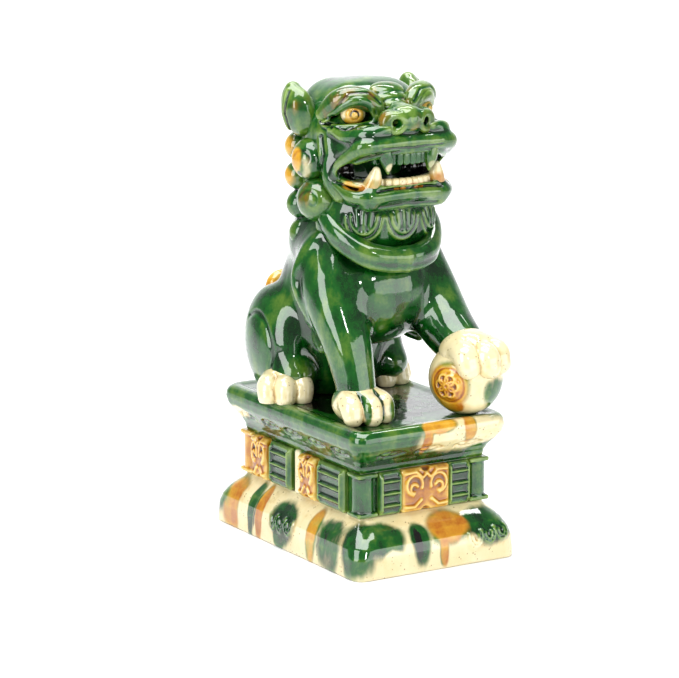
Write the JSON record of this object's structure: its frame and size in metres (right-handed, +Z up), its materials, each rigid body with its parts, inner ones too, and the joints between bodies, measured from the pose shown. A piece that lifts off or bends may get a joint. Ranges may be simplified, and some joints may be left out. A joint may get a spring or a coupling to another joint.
{
  "type": "guardian lion statue",
  "caption": "Glazed ceramic guardian lion seated on a moulded plinth, one forepaw on a ball, mouth open, flat foot to stand on.",
  "frame": {"origin": "centre of the plinth's foot, on the plane it stands on", "axes": "+Z up, the lion looks along -Y, its own left side and the ball are towards +X"},
  "size_m": [0.08, 0.1216, 0.2],
  "materials": {
    "green_glaze": "glossy green lead glaze on earthenware",
    "amber_glaze": "glossy amber lead glaze on earthenware",
    "cream_glaze": "glossy cream lead glaze with fine brown speckles"
  },
  "bodies": {
    "root": {"back_left_fret": "green_glaze", "back_right_fret": "green_glaze", "back_scroll_plaque": "amber_glaze", "ball": "cream_glaze", "beard": "green_glaze", "collar": "green_glaze", "forehead_boss": "green_glaze", "front_left_fret": "green_glaze", "front_right_fret": "green_glaze", "front_scroll_plaque": "amber_glaze", "left_brow": "green_glaze", "left_ear": "green_glaze", "left_eyeball": "cream_glaze", "left_foreleg": "green_glaze", "left_forepaw": "cream_glaze", "left_front_fret": "green_glaze", "left_front_post": "green_glaze", "left_front_scroll": "amber_glaze", "left_haunch": "green_glaze", "left_hind_paw": "green_glaze", "left_lower_fang": "cream_glaze", "left_lower_side_curl": "green_glaze", "left_nape_curls": "green_glaze", "left_rear_fret": "green_glaze", "left_rear_post": "amber_glaze", "left_rear_scroll": "amber_glaze", "left_shoulder_lock": "green_glaze", "left_upper_fang": "cream_glaze", "left_upper_side_curl": "green_glaze", "lower_jaw": "green_glaze", "lower_teeth": "cream_glaze", "mane": "green_glaze", "middle_nape_curls": "green_glaze", "nose": "green_glaze", "plinth_foot": "cream_glaze", "plinth_slab": "green_glaze", "plinth_waist": "green_glaze", "right_brow": "green_glaze", "right_ear": "green_glaze", "right_eyeball": "cream_glaze", "right_foreleg": "green_glaze", "right_forepaw": "cream_glaze", "right_front_fret": "green_glaze", "right_front_post": "green_glaze", "right_front_scroll": "amber_glaze", "right_haunch": "green_glaze", "right_hind_paw": "green_glaze", "right_lower_fang": "cream_glaze", "right_lower_side_curl": "green_glaze", "right_nape_curls": "green_glaze", "right_rear_fret": "green_glaze", "right_rear_post": "amber_glaze", "right_rear_scroll": "amber_glaze", "right_shoulder_lock": "green_glaze", "right_upper_fang": "cream_glaze", "right_upper_side_curl": "green_glaze", "skull": "green_glaze", "tail": "amber_glaze", "trunk": "green_glaze", "upper_teeth": "green_glaze"}
  },
  "joints": []
}
